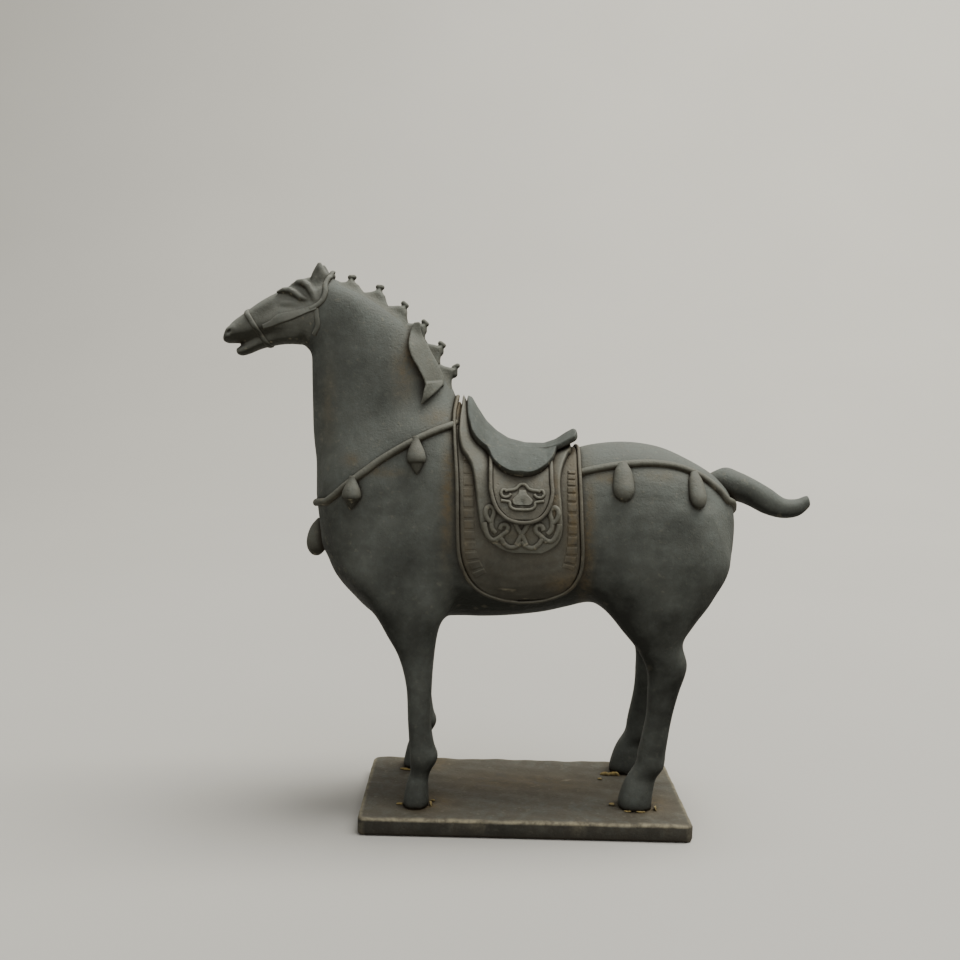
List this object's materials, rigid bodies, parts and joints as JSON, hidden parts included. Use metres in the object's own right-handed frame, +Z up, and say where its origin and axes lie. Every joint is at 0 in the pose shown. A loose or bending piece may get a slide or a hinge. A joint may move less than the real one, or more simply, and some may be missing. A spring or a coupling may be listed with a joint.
{
  "type": "bronze horse statue",
  "caption": "Small cast-bronze saddled horse standing on a flat rectangular plate, with draped saddle cloths, harness tassels, a tufted mane and a short curled tail.",
  "frame": {"origin": "centre of the base plate's flat underside", "axes": "+Z up; -X towards the horse's head and +X towards its tail; -Y towards the horse's left side"},
  "size_m": [0.0724, 0.021, 0.0676],
  "materials": {
    "patinated_bronze": "cast, dark grey-green patina, satin",
    "plate_bronze": "flat cast plate, dark patina with brown residue and worn brassy corners",
    "worn_bronze": "raised straps and tassels, patina rubbed thin"
  },
  "bodies": {
    "root": {"base_plate": "plate_bronze", "breast_strap": "worn_bronze", "cheek_strap_left": "worn_bronze", "cheek_strap_right": "worn_bronze", "crupper_strap": "worn_bronze", "head": "patinated_bronze", "headstall": "worn_bronze", "horse_body": "patinated_bronze", "mane_lock_left": "patinated_bronze", "mane_lock_right": "patinated_bronze", "mane_tuft_1": "patinated_bronze", "mane_tuft_2": "patinated_bronze", "mane_tuft_3": "patinated_bronze", "mane_tuft_4": "patinated_bronze", "mane_tuft_5": "patinated_bronze", "mane_tuft_6": "patinated_bronze", "mudguard": "patinated_bronze", "noseband": "worn_bronze", "saddle": "patinated_bronze", "saddle_apron": "patinated_bronze", "saddle_cloth": "patinated_bronze", "tail": "patinated_bronze", "tassel_chest_left": "worn_bronze", "tassel_chest_right": "worn_bronze", "tassel_front": "worn_bronze", "tassel_hip_left": "worn_bronze", "tassel_hip_right": "worn_bronze", "tassel_rump_left": "worn_bronze", "tassel_rump_right": "worn_bronze", "tassel_shoulder_left": "worn_bronze", "tassel_shoulder_right": "worn_bronze"}
  },
  "joints": []
}
